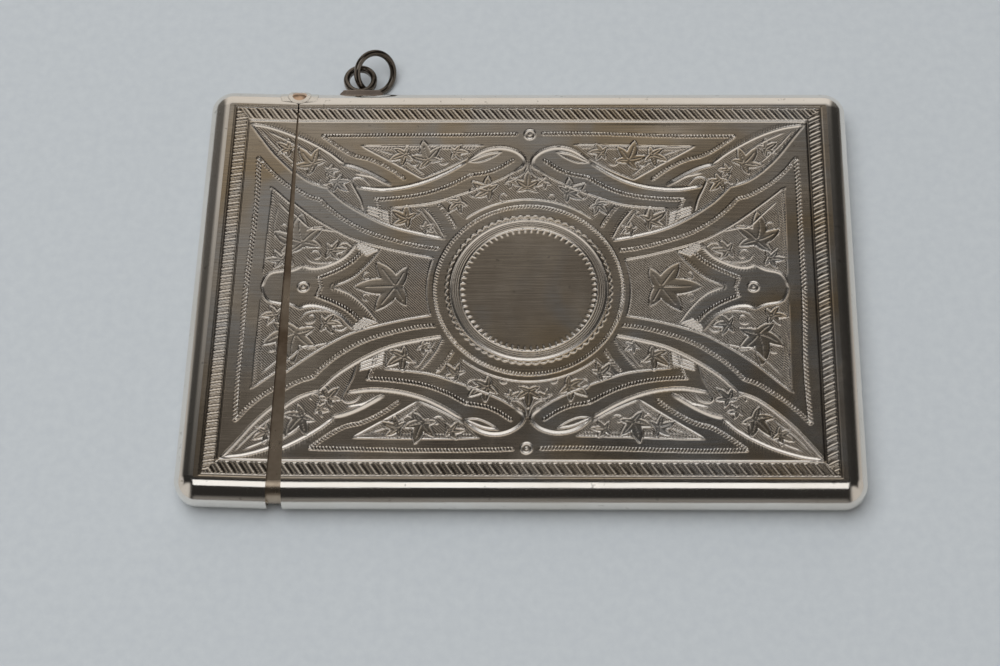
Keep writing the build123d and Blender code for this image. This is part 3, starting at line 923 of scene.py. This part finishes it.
face_silver = engraved_silver()
rim_silver = plain_silver("rim_silver", (0.93, 0.89, 0.83, 1), (0.78, 0.71, 0.62, 1), 0.14, 1.0,
                          scratch=0.03, around=True)
back_silver = plain_silver("back_silver", (0.90, 0.87, 0.82, 1), (0.70, 0.64, 0.55, 1), 0.22, 1.0)
joint_silver = plain_silver("joint_silver", (0.93, 0.90, 0.84, 1), (0.66, 0.58, 0.48, 1), 0.26)
ring_silver = plain_silver("ring_silver", (0.32, 0.28, 0.24, 1), (0.05, 0.04, 0.03, 1), 0.09, 0.2,
                           tarnish_share=0.9)
plate_silver = plain_silver("plate_silver", (0.40, 0.34, 0.30, 1), (0.08, 0.06, 0.05, 1), 0.13, 0.3,
                            tarnish_share=0.8)
mouth_silver = plain_silver("mouth_silver", (0.66, 0.55, 0.43, 1), (0.16, 0.11, 0.07, 1), 0.30,
                            tarnish_share=1.0)
pin_metal = plain_silver("pin_metal", (0.86, 0.62, 0.44, 1), (0.50, 0.31, 0.20, 1), 0.30)


# ---------------------------------------------------------------- the object

def build_front():
    """The engraved face in slabs, each under the limit for one piece, and the rims round
    it: the body's pieces and the lid's."""
    slabs = math.ceil((flat_x - mouth_x) * 2 * flat_y / cell ** 2 / slab_quads)
    cuts = np.linspace(mouth_x, flat_x, slabs + 1)
    body = [plate(f"engraved_face_{number}", low, high, face_silver)
            for number, (low, high) in enumerate(zip(cuts, cuts[1:]), 1)]
    body.append(rim("front_rim", mouth_x, flat_x, rim_silver))
    lid = [plate("lid_engraved_face", -flat_x, lid_mouth_x, face_silver, lid=True),
           rim("lid_front_rim", lid_mouth_x, -flat_x, rim_silver, lid=True)]
    return body, lid


slab_quads = 95000
body_front, lid_front = build_front()
for piece in body_front:
    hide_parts("body_front_shell")
    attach(piece, "case_body")
for piece in lid_front:
    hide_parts("lid_front_shell")
    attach(piece, "lid")

finishes = {
    "body_back_shell": back_silver, "lid_back_shell": back_silver,
    "body_front_shell": back_silver, "lid_front_shell": back_silver,
    "mouth_bezel": mouth_silver, "catch_pip": mouth_silver,
    "body_joint_bearer": joint_silver, "lid_joint_bearer": joint_silver,
    "body_knuckle": joint_silver, "hinge_pin": pin_metal,
    "lid_knuckle_front": joint_silver, "lid_knuckle_back": joint_silver,
    "ring_plate": plate_silver, "ring_loop": ring_silver, "jump_ring": ring_silver,
}
for node, material in finishes.items():
    for slot in frame["nodes"][node].material_slots:
        slot.material = material


# ---------------------------------------------------------------- stage, light and camera

def room_light():
    """The room: a pale wall beyond the object that dims to its sides, pale walls at its
    left and right, dimmer ones at the two near corners and low down behind the camera, and
    dark elsewhere. Each is a smooth step of the direction's own x or y, and the brightest
    one that a direction meets is seen."""
    world = bpy.data.worlds.new("room")
    bpy.context.scene.world = world
    world.use_nodes = True
    s = Shade(world.node_tree)
    direction = s.add("ShaderNodeTexCoord").outputs["Generated"]
    way = s.add("ShaderNodeSeparateXYZ", Vector=direction).outputs

    def wall_step(value, start, end, brightness):
        """A wall that rises to its brightness between two values."""
        return s.ramp(value, (start, end, 0.0, brightness), smooth=True)

    aside = s.math("ABSOLUTE", way["X"])
    lean = s.math("MAXIMUM", s.math("MINIMUM", way["X"], 0.2), -0.2)
    far = wall_step(s.math("MULTIPLY_ADD", lean, -0.3, way["Y"]), 0.41, 0.66, 0.66)
    far = s.math("MULTIPLY", far, s.math("SUBTRACT", 1.0, wall_step(aside, 0.34, 0.62, 0.85)))
    sides = wall_step(aside, 0.84, 0.92, 0.45)
    near = s.math("MULTIPLY", way["Y"], -1.0)
    corners = wall_step(aside, 0.36, 0.62, 0.50)
    corners = s.math("MULTIPLY", corners, wall_step(near, 0.05, 0.30, 1.0))
    low = wall_step(near, 0.90, 0.985, 0.16)
    light = s.math("MAXIMUM", s.math("MAXIMUM", far, sides), s.math("MAXIMUM", corners, low))
    sky = world.node_tree.nodes["Background"]
    sky.inputs["Color"].default_value = (1.0, 0.955, 0.90, 1)
    s.put(sky, "Strength", s.math("ADD", light, 0.022))


def panel(name, place, size, power, glossy):
    """A soft rectangular light facing the object. One that isn't glossy lights the table
    but doesn't mirror in the metal."""
    lamp = bpy.data.lights.new(name, "AREA")
    lamp.shape = "RECTANGLE"
    lamp.size, lamp.size_y = size
    lamp.energy = power
    light = bpy.data.objects.new(name, lamp)
    light.location = place
    light.rotation_euler = (-Vector(place)).to_track_quat("-Z", "Y").to_euler()
    light.visible_camera = False
    light.visible_glossy = glossy
    bpy.context.scene.collection.objects.link(light)


def build_stage():
    """A floor under the case, a soft light overhead, a second one for the table, and the room."""
    bpy.ops.mesh.primitive_plane_add(size=3.0, location=(0, 0, 0))
    floor = bpy.context.object
    floor.name = "floor"
    floor.data.materials.append(floor_material())
    room_light()
    panel("overhead", (0.0, -0.15, 1.0), (0.7, 0.56), 1.2, True)
    panel("table_fill", (-0.30, 0.12, 1.2), (1.1, 1.1), 9.5, False)


def build_camera():
    """A camera above the near edge, looking down at the face."""
    lens = bpy.data.cameras.new("camera")
    lens.lens = 87.65
    lens.sensor_width = 36.0
    camera = bpy.data.objects.new("camera", lens)
    right = (0.99991, 0.00688, -0.01156)
    up = (-0.00114, 0.89954, 0.43685)
    back = (0.01341, -0.43679, 0.89946)
    turn = Matrix((right, up, back)).transposed().to_4x4()
    camera.matrix_world = Matrix.Translation((0.000756, -0.161373, 0.322581)) @ turn
    bpy.context.scene.collection.objects.link(camera)
    bpy.context.scene.camera = camera
    bpy.context.scene.view_settings.view_transform = "Standard"


build_stage()
build_camera()
